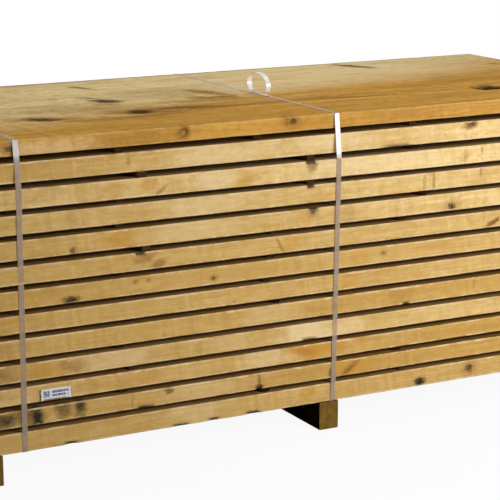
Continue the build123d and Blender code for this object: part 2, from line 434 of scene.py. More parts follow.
# Knots here and there on every face: the nearest of a scatter of places, of which few hold one.
scatter, given, gives = new_group(
    "scattered_knots", {"Vector": nowhere, "Pith": nowhere, "Share": 0.3, "Size": 0.011},
    ("Core", "Halo", "Bend"))
knot_stretch = (1.0, 2.5, 2.5)
moved, _ = along_log(scatter, given["Vector"], given["Pith"])
squeezed = reckon(scatter, "MULTIPLY", moved, knot_stretch)
cells = put(scatter, "ShaderNodeTexVoronoi", {"Vector": squeezed, "Scale": 3.6}).outputs
centre = reckon(scatter, "DIVIDE", cells["Position"], knot_stretch)
luck = put(scatter, "ShaderNodeSeparateColor", {0: cells["Color"]}).outputs
there = calc(scatter, "LESS_THAN", luck[0], given["Share"])
size = calc(scatter, "MULTIPLY", given["Size"], fade(scatter, luck[1], 0.0, 1.0, 0.35, 1.4))
single = place_group(scatter, knot, Vector=moved, Centre=centre, Radius=size, Strength=there)
link(scatter, gives, Core=single["Core"], Halo=single["Halo"],
     Bend=calc(scatter, "MULTIPLY", single["Bend"], there))

# A mark at one place: an oval with a soft ragged edge, for stains, streaks, smears and pale spots.
mark, given, gives = new_group(
    "mark", {"Vector": nowhere, "Centre": nowhere, "Half Size": (0.02, 0.02, 0.02), "Turn": nowhere,
             "Ragged": 0.45, "Grit": 60.0, "Soft": 0.55, "Strength": 1.0}, ("Mask",))
away = reckon(mark, "SUBTRACT", given["Vector"], given["Centre"])
turned = put(mark, "ShaderNodeVectorRotate", {"Vector": away, "Rotation": given["Turn"]},
             rotation_type="EULER_XYZ").outputs[0]
reach = reckon(mark, "LENGTH", reckon(mark, "DIVIDE", turned, given["Half Size"]))
grained = reckon(mark, "MULTIPLY", given["Vector"], (0.5, 1.0, 1.0))
grit = about_zero(mark, cloud(mark, grained, given["Grit"], 4.0, 0.65)[0])
edge = calc(mark, "ADD", reach, calc(mark, "MULTIPLY", grit, calc(mark, "MULTIPLY", given["Ragged"], 4.0)))
inside = fade(mark, edge, calc(mark, "ADD", 1.0, given["Soft"]), calc(mark, "SUBTRACT", 1.0, given["Soft"]))
worn = fade(mark, cloud(mark, grained, calc(mark, "MULTIPLY", given["Grit"], 3.0))[0], 0.3, 0.6, 0.65, 1.0)
link(mark, gives, Mask=calc(mark, "MULTIPLY", calc(mark, "MULTIPLY", inside, worn), given["Strength"]))

mark_depth = 0.03
mark_colours = {"black": (0.022, 0.018, 0.012, 1), "dark": (0.075, 0.045, 0.018, 1),
                "brown": (0.34, 0.165, 0.035, 1), "orange": (0.62, 0.31, 0.05, 1),
                "olive": (0.33, 0.225, 0.065, 1), "pale": (0.92, 0.71, 0.39, 1),
                "grey": (0.2, 0.18, 0.13, 1)}
# The way along which the top gets paler; how far from the middle of the stack the light in the gaps starts to
# fail and has gone, as painted shade; and how much of that painted shade the wood in the gaps takes.
sun_side = (-0.28, 1.0, 0.0)
gap_light, gap_dark = 0.488, 0.45
gap_shade = 0.85


def wood(name, looks, marks=None, knots=(), across=False, end=False):
    """Sawn wood. The looks give its colours and how strongly each kind of unevenness shows.
    Marks are listed by face: the axis that it looks along, and where it is on that axis."""
    made, tree, shader, place = new_material(name)
    pith = put(tree, "ShaderNodeAttribute", attribute_name="pith").outputs["Vector"]
    tone, wane, arris, worn, inner = (put(tree, "ShaderNodeAttribute", attribute_name=kept).outputs["Fac"]
                                      for kept in ("tone", "wane", "arris", "worn", "inner"))
    axes = put(tree, "ShaderNodeSeparateXYZ", {0: place}).outputs
    grain_place = place
    if across:
        grain_place = put(tree, "ShaderNodeCombineXYZ", {0: axes[1], 1: axes[0], 2: axes[2]}).outputs[0]

    found = place_group(tree, scatter, Vector=grain_place, Pith=pith, Share=looks["knots"],
                        Size=looks["knot_size"])
    core, halo, bend = found["Core"], found["Halo"], found["Bend"]
    for centre, radius, strength in knots:
        one = place_group(tree, knot, Vector=grain_place, Centre=centre, Radius=radius, Strength=strength)
        core = calc(tree, "MAXIMUM", core, one["Core"])
        halo = calc(tree, "MAXIMUM", halo, one["Halo"])
        bend = calc(tree, "MAXIMUM", bend, one["Bend"])
    grown = place_group(tree, growth, Vector=grain_place, Pith=pith, Ring_Width=looks["ring_width"],
                        Wander=looks["wander"], Flame=looks["flame"], Bend=bend)
    shift = put(tree, "ShaderNodeSeparateXYZ", {0: pith}).outputs[0]
    sawn = place_group(tree, saw, Vector=grain_place, Shift=shift)

    if looks["bleach"]:
        sun = reckon(tree, "DOT_PRODUCT", place, sun_side)
        sun = calc(tree, "MULTIPLY_ADD", about_zero(tree, grown["Patch"]), 0.5, sun)
        tone = calc(tree, "MULTIPLY_ADD", about_zero(tree, tone), 0.3, fade(tree, sun, *looks["bleach"]))
    colour = tint(tree, tone, looks["light"], looks["deep"])
    for pattern, start, full, amount, stain in (("Patch", 0.5, 0.72, "patchy", "patch"),
                                                ("Mottle", 0.46, 0.3, "green", "sap"),
                                                ("Blotch", 0.52, 0.7, "pink", "heart")):
        colour = tint(tree, fade(tree, grown[pattern], start, full, 0.0, looks[amount]), colour, looks[stain])
    dim = calc(tree, "SUBTRACT", 1.0, calc(tree, "MULTIPLY", grown["Rings"], looks["rings"]))
    for pattern, start, full, swing in (("Fibre", 0.25, 0.75, looks["fibre"]),
                                        ("Slope", 0.3, 0.7, looks["streak"]),
                                        ("Mottle", 0.3, 0.7, looks["mottle"]),
                                        ("Blotch", 0.3, 0.7, -looks["blotch"])):
        dim = calc(tree, "MULTIPLY", dim, fade(tree, grown[pattern], start, full, 1 - swing, 1 + swing))
    if not end:
        for pattern, swing in (("Band", looks["bands"]), ("Line", -0.4 * looks["bands"])):
            dim = calc(tree, "MULTIPLY", dim, calc(tree, "MULTIPLY_ADD", sawn[pattern], swing, 1.0))
        dim = calc(tree, "MULTIPLY", dim, fade(tree, grown["Speck"], 0.0, 1.0, 1.0, 0.55))
    depth = put(tree, "ShaderNodeCombineColor", {0: calc(tree, "POWER", dim, 0.75), 1: dim,
                                                 2: calc(tree, "POWER", dim, 1.7)}).outputs[0]
    colour = tint(tree, 1.0, colour, depth, "MULTIPLY")
    listed = [(face, *one) for face, ones in (marks or {}).items() for one in ones]
    for (axis, level), kind, first, second, half_first, half_second, turn, strength in listed:
        if axis == "y":
            centre, half = (first, level, second), (half_first, mark_depth, half_second)
            euler = (0, radians(turn), 0)
        else:
            centre, half = (first, second, level), (half_first, half_second, mark_depth)
            euler = (0, 0, radians(-turn))
        mask = place_group(tree, mark, Vector=place, Centre=centre, Half_Size=half, Turn=euler,
                           Grit=0.9 / min(half_first, half_second), Strength=strength)["Mask"]
        colour = tint(tree, mask, colour, mark_colours[kind])
    colour = tint(tree, calc(tree, "MULTIPLY", halo, 0.45), colour, looks["halo"])
    colour = tint(tree, core, colour, looks["knot"])
    # Pale arrises: partly paler torn fibres, partly a painted highlight for the light that the chamfers
    # catch.
    frayed = calc(tree, "MULTIPLY_ADD", about_zero(tree, grown["Blotch"]), 0.9, worn)
    torn = calc(tree, "MAXIMUM", arris, fade(tree, frayed, 0.66, 0.92))
    frays = fade(tree, grown["Mottle"], 0.38, 0.62, 0.1 * looks["torn"], looks["torn"])
    colour = tint(tree, calc(tree, "MULTIPLY", torn, frays), colour, looks["torn_wood_and_highlight"])
    bark = calc(tree, "MULTIPLY", wane, fade(tree, grown["Fibre"], 0.3, 0.7, 0.8, 1.0))
    colour = tint(tree, bark, colour, looks["bark"])
    # Painted shade: the faces inside the gaps are multiplied by a darker colour, darkest deep in.
    into_gap = fade(tree, calc(tree, "ABSOLUTE", axes[1]), gap_light, gap_dark)
    inside = tint(tree, into_gap, looks["inside"], looks["deep_gap_shade"])
    colour = tint(tree, calc(tree, "MULTIPLY", inner, gap_shade), colour, inside, "MULTIPLY")
    rough = fade(tree, grown["Fibre"], 0.2, 0.8, looks["rough"] - 0.08, looks["rough"] + 0.08)
    height = calc(tree, "MULTIPLY", grown["Fibre"], 0.5)
    height = calc(tree, "ADD", height, calc(tree, "MULTIPLY", sawn["Line"], 0.6))
    height = calc(tree, "SUBTRACT", height, calc(tree, "MULTIPLY", grown["Rings"], 0.2))
    link(tree, shader.inputs, Base_Color=colour, Roughness=rough,
         Normal=relief(tree, height, looks["bump"], 0.0006))
    shader.inputs["Specular IOR Level"].default_value = looks["gloss"]
    return made


fresh = {"light": (0.85, 0.61, 0.27, 1), "deep": (0.58, 0.335, 0.08, 1), "bleach": None,
         "patch": (0.56, 0.29, 0.055, 1), "patchy": 0.45, "sap": (0.72, 0.475, 0.14, 1), "green": 0.4,
         "heart": (0.74, 0.43, 0.18, 1), "pink": 0.4, "ring_width": 0.0046, "wander": 0.07, "flame": 0.0,
         "rings": 0.06, "fibre": 0.08, "streak": 0.05, "mottle": 0.085, "blotch": 0.06, "bands": 0.42,
         "knots": 0.09, "knot_size": 0.007, "knot": (0.06, 0.028, 0.01, 1), "halo": (0.3, 0.15, 0.04, 1),
         "torn": 0.75, "torn_wood_and_highlight": (0.95, 0.74, 0.44, 1), "bark": (0.03, 0.019, 0.011, 1),
         "inside": (0.45, 0.4, 0.36, 1), "deep_gap_shade": (0.12, 0.09, 0.07, 1),
         "rough": 0.75, "bump": 0.6, "gloss": 0.06}
fresh_end = {**fresh, "light": (0.66, 0.46, 0.22, 1), "deep": (0.46, 0.28, 0.11, 1),
             "sap": (0.56, 0.38, 0.15, 1), "rings": 0.42, "fibre": 0.1, "streak": 0.0, "mottle": 0.14}
board_end = wood("board_end", fresh_end, end=True)

# What shows on the front of each row: kind, X, Z, half sizes, turn in degrees, strength. A dark core is
# listed after the wider stain that it lies in.
front_marks = {
    12: (("dark", -0.17, 0.862, 0.006, 0.01, 0, 0.3), ("brown", 0.962, 0.877, 0.028, 0.012, 12, 1.0),
         ("dark", 0.966, 0.878, 0.02, 0.009, 0, 0.9), ("pale", 0.12, 0.86, 0.16, 0.03, 0, 0.5),
         ("pale", 0.47, 0.868, 0.15, 0.03, 0, 0.6)),
    11: (("olive", -0.08, 0.774, 0.022, 0.006, 35, 0.8), ("orange", 0.185, 0.789, 0.034, 0.026, 0, 0.75),
         ("orange", -0.11, 0.795, 0.024, 0.02, 0, 0.7), ("olive", 0.402, 0.803, 0.018, 0.016, 0, 0.95),
         # The wide pale mark at X 0.62 is partly paler wood and partly a painted highlight.
         ("brown", 0.402, 0.805, 0.017, 0.013, 0, 1.0), ("pale", 0.62, 0.79, 0.2, 0.04, 0, 0.5),
         ("pale", 0.09, 0.79, 0.07, 0.03, 0, 0.6), ("orange", -0.22, 0.795, 0.035, 0.03, 0, 0.4),
         ("brown", 0.935, 0.787, 0.008, 0.018, 0, 0.5), ("brown", 0.995, 0.8, 0.004, 0.01, 0, 0.7)),
    10: (("dark", 0.4, 0.744, 0.012, 0.008, 0, 0.45), ("olive", 0.792, 0.72, 0.007, 0.034, 0, 0.6),
         ("olive", 0.824, 0.72, 0.005, 0.034, 0, 0.7), ("dark", 0.994, 0.735, 0.005, 0.018, 0, 0.45),
         ("olive", -0.342, 0.72, 0.02, 0.02, 0, 0.3), ("pale", 0.07, 0.72, 0.12, 0.03, 0, 0.4)),
    9: (("orange", -0.195, 0.655, 0.045, 0.035, 0, 0.8), ("orange", 0.385, 0.65, 0.02, 0.035, 0, 0.5),
        ("dark", -0.342, 0.633, 0.009, 0.01, 0, 0.8), ("brown", 0.532, 0.64, 0.03, 0.03, 0, 0.3),
        ("pale", 0.03, 0.65, 0.14, 0.03, 0, 0.35)),
    8: (("brown", -0.128, 0.592, 0.034, 0.016, 15, 0.75), ("brown", -0.086, 0.57, 0.024, 0.011, 20, 0.85),
        ("brown", 0.302, 0.575, 0.005, 0.028, 28, 0.8), ("orange", 0.335, 0.58, 0.03, 0.03, 0, 0.5),
        ("brown", 1.046, 0.571, 0.026, 0.008, 25, 1.0), ("brown", 1.03, 0.565, 0.008, 0.01, 0, 0.85),
        ("dark", 1.048, 0.572, 0.018, 0.004, 25, 0.6)),
    7: (("olive", -0.354, 0.498, 0.03, 0.01, 0, 0.6), ("dark", -0.35, 0.496, 0.022, 0.01, 0, 0.95),
        ("black", -0.348, 0.495, 0.012, 0.006, 0, 0.6), ("orange", 0.567, 0.51, 0.03, 0.03, 0, 0.45)),
    6: (("orange", 0.532, 0.445, 0.03, 0.035, 0, 0.6),),
    # The wide soft dark marks near X -0.6 on rows 2 to 5 are painted shade for the lower left of the front,
    # where less light falls.
    5: (("dark", -0.68, 0.375, 0.12, 0.035, 0, 0.4), ("brown", -0.072, 0.361, 0.006, 0.006, 0, 0.5),
        ("brown", 0.98, 0.389, 0.005, 0.014, 0, 0.5), ("brown", 0.714, 0.38, 0.04, 0.03, 0, 0.3),
        ("pale", 0.26, 0.378, 0.09, 0.03, 0, 0.3)),
    4: (("dark", -0.66, 0.31, 0.13, 0.035, 0, 0.55), ("brown", -0.345, 0.309, 0.04, 0.016, -10, 0.6),
        ("olive", 0.04, 0.31, 0.012, 0.028, 0, 0.4), ("pale", 0.4, 0.308, 0.085, 0.04, 0, 0.75),
        ("pale", -0.225, 0.312, 0.11, 0.04, 0, 0.45), ("orange", -0.43, 0.31, 0.045, 0.03, 0, 0.6),
        ("pale", 0.14, 0.31, 0.06, 0.03, 0, 0.2), ("brown", 0.322, 0.3, 0.016, 0.008, -50, 0.2),
        ("pale", 0.53, 0.31, 0.05, 0.03, 0, 0.5)),
    3: (("dark", -0.66, 0.245, 0.11, 0.03, 0, 0.3), ("orange", 0.395, 0.252, 0.062, 0.03, 0, 0.95),
        ("orange", 0.415, 0.25, 0.045, 0.022, 0, 0.8), ("brown", 0.385, 0.25, 0.034, 0.01, -12, 0.35),
        ("orange", 0.49, 0.25, 0.035, 0.02, 0, 0.9), ("pale", 0.25, 0.245, 0.07, 0.03, 0, 0.45),
        ("pale", 0.34, 0.236, 0.03, 0.012, 0, 0.3)),
    2: (("dark", -0.478, 0.183, 0.038, 0.04, 0, 0.75), ("black", -0.455, 0.18, 0.015, 0.042, 0, 0.95),
        ("dark", -0.378, 0.194, 0.026, 0.024, 0, 0.75), ("dark", -0.328, 0.186, 0.018, 0.034, 0, 0.75),
        ("black", -0.33, 0.194, 0.012, 0.014, 0, 0.8), ("dark", -0.6, 0.18, 0.1, 0.03, 0, 0.95),
        ("pale", 0.06, 0.18, 0.12, 0.03, 0, 0.28), ("brown", 0.375, 0.18, 0.045, 0.03, 0, 0.15),
        ("olive", -0.171, 0.18, 0.004, 0.026, 0, 0.5), ("dark", -0.056, 0.195, 0.014, 0.009, 0, 0.75),
        ("dark", 0.234, 0.185, 0.005, 0.022, 6, 0.6), ("black", 0.234, 0.163, 0.014, 0.009, 0, 0.9),
        ("orange", 0.545, 0.185, 0.07, 0.03, 0, 0.8), ("brown", 0.541, 0.179, 0.038, 0.01, 35, 0.9),
        ("dark", 0.532, 0.171, 0.024, 0.004, 35, 0.4), ("dark", 0.48, 0.172, 0.012, 0.016, 0, 0.8)),
    1: (("black", -0.357, 0.088, 0.026, 0.006, 0, 0.9), ("black", 0.213, 0.087, 0.026, 0.007, 0, 0.9),
        ("dark", 0.085, 0.09, 0.018, 0.006, 0, 0.7), ("dark", 0.794, 0.098, 0.021, 0.015, 0, 1.0),
        ("black", 0.791, 0.098, 0.015, 0.012, 0, 0.95), ("orange", 0.395, 0.12, 0.024, 0.018, 0, 0.7),
        ("pale", 0.03, 0.12, 0.08, 0.03, 0, 0.3)),
}
front_knots = {
    9: (((0.409, -0.501, 0.665), 0.009, 0.9), ((0.892, -0.501, 0.636), 0.013, 1.0)),
    7: (((-0.156, -0.501, 0.525), 0.005, 0.6), ((-0.117, -0.501, 0.525), 0.005, 0.5),
        ((0.085, -0.501, 0.507), 0.007, 0.8), ((0.651, -0.501, 0.518), 0.007, 0.7)),
    6: (((0.152, -0.501, 0.431), 0.006, 0.3),),
    1: (((0.974, -0.5, 0.116), 0.014, 1.0),),
}
# How deep the colour of each front board is, at the left and at the right of the picture.
# Partly painted shade: the deeper tones to the left and lower down stand in for light falling off there; the
# rest is each board's own tone.
row_tones = {12: (0.85, 0.05), 11: (0.45, 0.0), 10: (0.65, 0.25), 9: (0.85, 0.2), 8: (0.75, 0.5),
             7: (0.9, 0.65), 6: (0.8, 0.55), 5: (0.8, 0.9), 4: (0.75, 0.45), 3: (0.5, 1.0),
             2: (0.75, 0.95), 1: (0.7, 0.7)}
front_face = ("y", -0.503)
for row in range(1, row_count):
    board_face = wood(f"board_{row:02d}", fresh, {front_face: front_marks[row]}, front_knots.get(row, ()))
    sawn_boards(row, [board_face, board_end], (row_tones[row], None, None, None))

# Top row: the same boards after some weeks in sun and rain, brown along the front and bleached dull and
# pale towards the back, with dark knots, bark streaks and dirt. They lie under the straps like the rest.
weathered = {
    **fresh, "light": (0.7, 0.378, 0.083, 1), "deep": (0.82, 0.63, 0.315, 1), "bleach": (-0.36, 0.0),
    "patch": (0.46, 0.22, 0.05, 1), "sap": (0.6, 0.39, 0.13, 1), "green": 0.15,
    "heart": (0.7, 0.38, 0.12, 1), "ring_width": 0.009, "flame": 0.006, "rings": 0.22, "fibre": 0.07,
    "streak": 0.07, "mottle": 0.1, "blotch": 0.08, "knots": 0.1, "torn": 0.6,
    "torn_wood_and_highlight": (0.8, 0.52, 0.19, 1), "bump": 0.8, "gloss": 0.0}
top_marks = {
    ("z", 0.946): (
        ("pale", 0.75, 0.26, 0.75, 0.22, 0, 0.5), ("dark", 0.001, 0.046, 0.034, 0.06, 25, 0.85),
        ("black", 0.004, 0.04, 0.016, 0.04, 25, 0.6), ("dark", -0.022, 0.131, 0.01, 0.036, 60, 0.85),
        ("olive", -0.024, -0.017, 0.034, 0.02, -28, 0.95), ("brown", -0.29, -0.205, 0.11, 0.034, -25, 0.8),
        ("dark", -0.305, -0.2, 0.05, 0.034, -25, 0.85), ("brown", 0.01, -0.2, 0.12, 0.045, -25, 0.8),
        ("dark", 0.003, -0.195, 0.04, 0.042, -28, 0.9), ("dark", 0.003, -0.195, 0.03, 0.03, -28, 0.9),
        ("black", 1.186, -0.24, 0.034, 0.045, -28, 0.9), ("dark", 1.26, -0.262, 0.075, 0.02, 0, 0.85),
        ("brown", 0.352, 0.075, 0.03, 0.075, 20, 0.9), ("brown", 0.375, -0.03, 0.034, 0.05, 8, 0.85),
        ("brown", 0.295, -0.025, 0.06, 0.03, -25, 0.95), ("brown", 0.15, -0.18, 0.16, 0.036, -12, 0.95),
        ("dark", 0.15, -0.18, 0.09, 0.016, -12, 0.4), ("brown", 0.31, -0.088, 0.17, 0.022, -8, 0.5),
        ("brown", 0.2, -0.248, 0.15, 0.014, -4, 0.45), ("brown", 0.87, -0.2, 0.16, 0.014, -10, 0.4),
        ("dark", 0.046, 0.345, 0.016, 0.055, 25, 0.7), ("dark", 1.085, 0.4, 0.02, 0.085, 30, 0.9),
        ("brown", 0.5, -0.2, 0.28, 0.02, 3, 0.55), ("brown", 0.25, -0.14, 0.22, 0.018, -6, 0.3),
        ("brown", 0.72, -0.235, 0.16, 0.012, -4, 0.6), ("brown", 1.1, -0.1, 0.22, 0.03, 4, 0.25),
        ("grey", -0.5, 0.492, 1.1, 0.014, 0, 0.7), ("grey", 0.9, 0.494, 0.6, 0.01, 0, 0.5),
        ("brown", 0.06, -0.46, 0.3, 0.02, 2, 0.15), ("brown", -0.16, -0.05, 0.13, 0.07, -10, 0.35),
        ("brown", -0.1, -0.275, 0.14, 0.04, -6, 0.4), ("brown", 0.2, 0.14, 0.18, 0.09, -8, 0.35),
        ("brown", 1.45, 0.28, 0.22, 0.12, 0, 0.1), ("brown", 1.27, -0.04, 0.2, 0.06, -5, 0.3),
        ("brown", 0.66, -0.215, 0.09, 0.016, -12, 0.6), ("brown", 0.05, -0.26, 0.18, 0.022, 8, 0.5)),
    ("y", -0.486): (
        ("brown", -0.15, 0.922, 0.15, 0.022, 0, 0.45), ("pale", -0.4, 0.918, 0.13, 0.02, 0, 0.45),
        ("dark", -0.512, 0.928, 0.03, 0.016, 0, 0.3), ("orange", 0.12, 0.92, 0.16, 0.02, 0, 0.3),
        ("brown", 0.354, 0.93, 0.04, 0.02, 0, 0.95), ("orange", 0.4, 0.925, 0.09, 0.02, 0, 0.6),
        ("brown", 0.328, 0.943, 0.009, 0.005, 0, 0.9), ("dark", 0.328, 0.9285, 0.009, 0.006, 0, 0.45),
        ("dark", 0.35, 0.9335, 0.011, 0.01, 0, 0.9), ("black", 0.35, 0.934, 0.005, 0.005, 0, 0.7),
        ("brown", 0.002, 0.928, 0.022, 0.018, 0, 0.95), ("dark", 0.007, 0.931, 0.013, 0.012, 0, 0.75),
        ("orange", 0.001, 0.927, 0.007, 0.006, 0, 0.7), ("brown", 0.9, 0.93, 0.5, 0.03, 0, 0.4)),
}
top_knots = (((-0.51, -0.487, 0.925), 0.012, 0.8),)
top_face = wood("board_top", weathered, top_marks, top_knots)
top_end = wood("board_top_end", {**weathered, "rings": 0.4}, end=True)
top_tones = ((0.4, 0.3), (0.2, 0.3), (0.6, 0.6), (0.4, 0.7))
sawn_boards(row_count, [top_face, top_end], top_tones)


# Drying sticks: thin slats laid across each row to let air through, sawn from the same wood and used many
# times, so they are brown, dusty and dull. Their ends are painted near black, a painted shade for the dark in
# the gaps where they sit back. The weight of the rows above holds them.
def crosswise(node, pitch, tear):
    """The solids of a node that lie across the stack, cut into short lengths, edges worn."""
    pieces, index, count = bmesh.new(), 0, 1
    while index < count:
        piece, count = one_solid(node, index, 0)
        places = [vert.co.copy() for vert in piece.verts]
        front, back = min(p.y for p in places), max(p.y for p in places)
        low, top = min(p.z for p in places), max(p.z for p in places)
        draw = random.Random(f"{node} {index}")
        y = front + pitch / 3
        while y < back - pitch / 3:
            cut(piece, (0, y, 0), (0, 1, 0))
            y += pitch * draw.uniform(0.8, 1.2)
        long_edges = [e for e in piece.edges if abs((e.verts[0].co - e.verts[1].co).y) > 0.7 * e.calc_length()
                      and e.calc_face_angle(0) > radians(60)]
        bmesh.ops.bevel(piece, geom=long_edges, offset=tear, offset_type="OFFSET", segments=1, profile=0.5,
                        affect="EDGES", material=-1)
        middle = sum(places, Vector()) / len(places)
        pith_layer = piece.verts.layers.float_vector.new("pith")
        tone_layer = piece.verts.layers.float.new("tone")
        piece.verts.layers.float.new("wane")
        turn, reach = draw.uniform(0, 2 * pi), draw.uniform(0.02, 0.08)
        pith = Vector((draw.uniform(0, 40), middle.x + reach * cos(turn), middle.z + reach * sin(turn)))
        tone, seed = draw.random(), draw.uniform(1, 90)
        for vert in piece.verts:
            vert[pith_layer], vert[tone_layer] = pith, tone
            if low + 0.0002 < vert.co.z < top - 0.0002:
                vert.co.x += tear * 0.4 * wander(seed + vert.co.z * 40, vert.co.y, 0.06)
        gather(pieces, piece)
        index += 1
    pieces.normal_update()
    for face in pieces.faces:
        face.material_index = 1 if abs(face.normal.y) > 0.9 else 0
    sharpen(pieces)
    return meshed(pieces, node)


slat = {**fresh, "light": (0.3, 0.19, 0.08, 1), "deep": (0.22, 0.13, 0.05, 1), "sap": (0.24, 0.17, 0.07, 1),
        "heart": (0.26, 0.15, 0.07, 1), "patch": (0.18, 0.1, 0.035, 1), "torn": 0.3,
        "torn_wood_and_highlight": (0.35, 0.24, 0.11, 1), "knots": 0.0, "ring_width": 0.003, "gloss": 0.0}
# Painted shade: the ends are near black for the dark in the gaps where the sticks sit back.
slat_end_painted_shade = {**slat, "light": (0.088, 0.044, 0.021, 1), "deep": (0.015, 0.005, 0.002, 1),
            "sap": (0.02, 0.012, 0.005, 1), "heart": (0.02, 0.01, 0.004, 1),
            "patch": (0.015, 0.008, 0.003, 1), "rings": 0.35}
stick_face = wood("stick_face", slat, across=True)
stick_end_painted_shade = wood("stick_end_painted_shade", slat_end_painted_shade, across=True, end=True)
for layer in range(1, row_count):
    node = f"sticks_row_{layer:02d}"
    show(crosswise(node, 0.11, 0.0009), f"drying_{node}", [stick_face, stick_end_painted_shade], node)

# Bearers: two square-sawn timbers that the stack stands on, dirty and dull from the yard, loose under the
# bottom row. Their sides lie in the dark under it, and that dark is painted shade: all but their ends are
# painted near black.
timber = {**fresh, "light": (0.235, 0.135, 0.03, 1), "deep": (0.19, 0.1, 0.024, 1),
          "patch": (0.1, 0.055, 0.017, 1), "sap": (0.17, 0.1, 0.028, 1), "heart": (0.2, 0.11, 0.04, 1),
          "torn": 0.3, "torn_wood_and_highlight": (0.3, 0.19, 0.08, 1), "patchy": 0.8, "rings": 0.25, "fibre": 0.14,
          "streak": 0.16, "knots": 0.1, "bump": 0.9, "rough": 0.8, "gloss": 0.0}
# Painted shade: these side colours are near black for the dark under the stack.
timber_side_painted_shade = {**timber, "light": (0.027, 0.016, 0.007, 1), "deep": (0.018, 0.011, 0.005, 1),
               "patch": (0.02, 0.013, 0.007, 1), "sap": (0.03, 0.02, 0.009, 1),
               "heart": (0.036, 0.02, 0.009, 1), "torn": 0.15}
bearer_side_painted_shade = wood("bearer_side_painted_shade", timber_side_painted_shade, across=True)
bearer_end = wood("bearer_end", {**timber, "rings": 0.4}, across=True, end=True)
for node in ("bearer_left", "bearer_right"):
    show(crosswise(node, 0.06, 0.0015), f"timber_{node}", [bearer_side_painted_shade, bearer_end], node)

# Straps: a band of clear-white polypropylene round the stack each, embossed, glossy and see-through, pulled
# tight over every arris, which it follows in a small bend. On its front just under the top, and in the curl
# that the right one ends in, it is painted white: a painted highlight for the lamp mirrored in it. On the top
# it hardly shows.
bend_reach = 0.0012
curl_start = 0.9515
# Down to these heights, at the left and the right, the front of the band gets the painted highlight.
glare_down_left, glare_down_right = 0.896, 0.826
strap_material, tree, shader, place = new_material("strap")
sideways, _, height = put(tree, "ShaderNodeSeparateXYZ", {0: place}).outputs
weave = put(tree, "ShaderNodeTexVoronoi", {"Vector": place, "Scale": 420.0}).outputs["Distance"]
dust = cloud(tree, place, 30.0, 3.0)[0]
# Painted highlight: white and nearly solid on the front from the top arris down to a height falling from left
# to right, and on the curl.
glare_down_to = fade(tree, sideways, -0.3, 0.3, glare_down_left, glare_down_right)
painted_glare = fade(tree, calc(tree, "SUBTRACT", height, glare_down_to), -0.012, 0.012, 0.0, 0.78)
painted_glare = calc(tree, "MULTIPLY", painted_glare, fade(tree, height, 0.947, 0.9455))
white = calc(tree, "MAXIMUM", fade(tree, height, curl_start, curl_start + 0.006), painted_glare)
clear = tint(tree, fade(tree, dust, 0.35, 0.7), (0.56, 0.43, 0.31, 1), (0.44, 0.32, 0.23, 1))
lying = calc(tree, "MULTIPLY", fade(tree, height, 0.9445, 0.9458), fade(tree, height, 0.9505, 0.948))
solid = calc(tree, "MULTIPLY", fade(tree, dust, 0.3, 0.7, 0.46, 0.56), fade(tree, lying, 0.0, 1.0, 1.0, 0.6))
solid = calc(tree, "MAXIMUM", solid, calc(tree, "MULTIPLY", white, 0.9))
link(tree, shader.inputs, Base_Color=tint(tree, white, clear, (0.88, 0.86, 0.84, 1)), Alpha=solid,
     Roughness=fade(tree, dust, 0.3, 0.7, 0.16, 0.24), Normal=relief(tree, weave, 0.15, 0.0002))
shader.inputs["Specular IOR Level"].default_value = 0.7


def bends_at(edge):
    """Whether the band turns here: across its full width, below the curl, with room on both sides."""
    length = edge.calc_length()
    if length <= 0.012 or abs((edge.verts[0].co - edge.verts[1].co).x) <= 0.9 * length:
        return False
    if edge.calc_face_angle(0) <= radians(2.5) or max(vert.co.z for vert in edge.verts) >= curl_start:
        return False
    return min(face.calc_area() for face in edge.link_faces) / length > 3 * bend_reach


for side in ("left", "right"):
    band = bmesh.new()
    band.from_mesh(frame["nodes"][f"strap_{side}"].data)
    bmesh.ops.remove_doubles(band, verts=band.verts[:], dist=1e-5)
    bmesh.ops.dissolve_limit(band, angle_limit=radians(1), verts=band.verts[:], edges=band.edges[:])
    bends = [edge for edge in band.edges if bends_at(edge)]
    bmesh.ops.bevel(band, geom=bends, offset=bend_reach, offset_type="OFFSET", segments=3, profile=0.5,
                    affect="EDGES", material=-1, clamp_overlap=True)
    sharpen(band, 40)
    show(meshed(band, f"band_{side}"), f"plastic_band_{side}", [strap_material], f"strap_{side}")

# Seals: a sleeve of galvanised sheet crimped round both layers of the band on top of the stack. The
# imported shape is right, so it only gets its finish.
seal_material, tree, shader, place = new_material("seal")
spangle = put(tree, "ShaderNodeTexVoronoi", {"Vector": place, "Scale": 160.0}).outputs["Color"]
grey = put(tree, "ShaderNodeSeparateColor", {0: spangle}).outputs[0]
link(tree, shader.inputs, Base_Color=tint(tree, grey, (0.3, 0.3, 0.29, 1), (0.46, 0.46, 0.44, 1)),
     Roughness=fade(tree, grey, 0.0, 1.0, 0.32, 0.5))
shader.inputs["Metallic"].default_value = 0.9
for node in ("seal_left", "seal_right"):
    frame["nodes"][node].data.materials.clear()
    frame["nodes"][node].data.materials.append(seal_material)

# Label: a slip of white paper stuck to the front of the third row from the bottom, printed with a
# plain code block and a few plain bars. Its corners have come away from the wood a little.
label_low, label_high = Vector((-0.446, -0.5, 0.2245)), Vector((-0.358, -0.5, 0.2555))
label_size = label_high - label_low
paper_thickness = 0.00015
paper, tree, shader, place = new_material("paper")
share = reckon(tree, "DIVIDE", reckon(tree, "SUBTRACT", place, label_low), (label_size.x, 1.0, label_size.z))
across_paper, _, up_paper = put(tree, "ShaderNodeSeparateXYZ", {0: share}).outputs


def between(tree, value, low, high, soft=0.01):
    above, below = fade(tree, value, low - soft, low + soft), fade(tree, value, high + soft, high - soft)
    return calc(tree, "MULTIPLY", above, below)


def corner_order(face):
    """Sorts faces by their corners, since solidify makes the ones round the rim in chance order."""
    corners = [vert.index for vert in face.verts]
    return min(corners) * 1000 + max(corners)


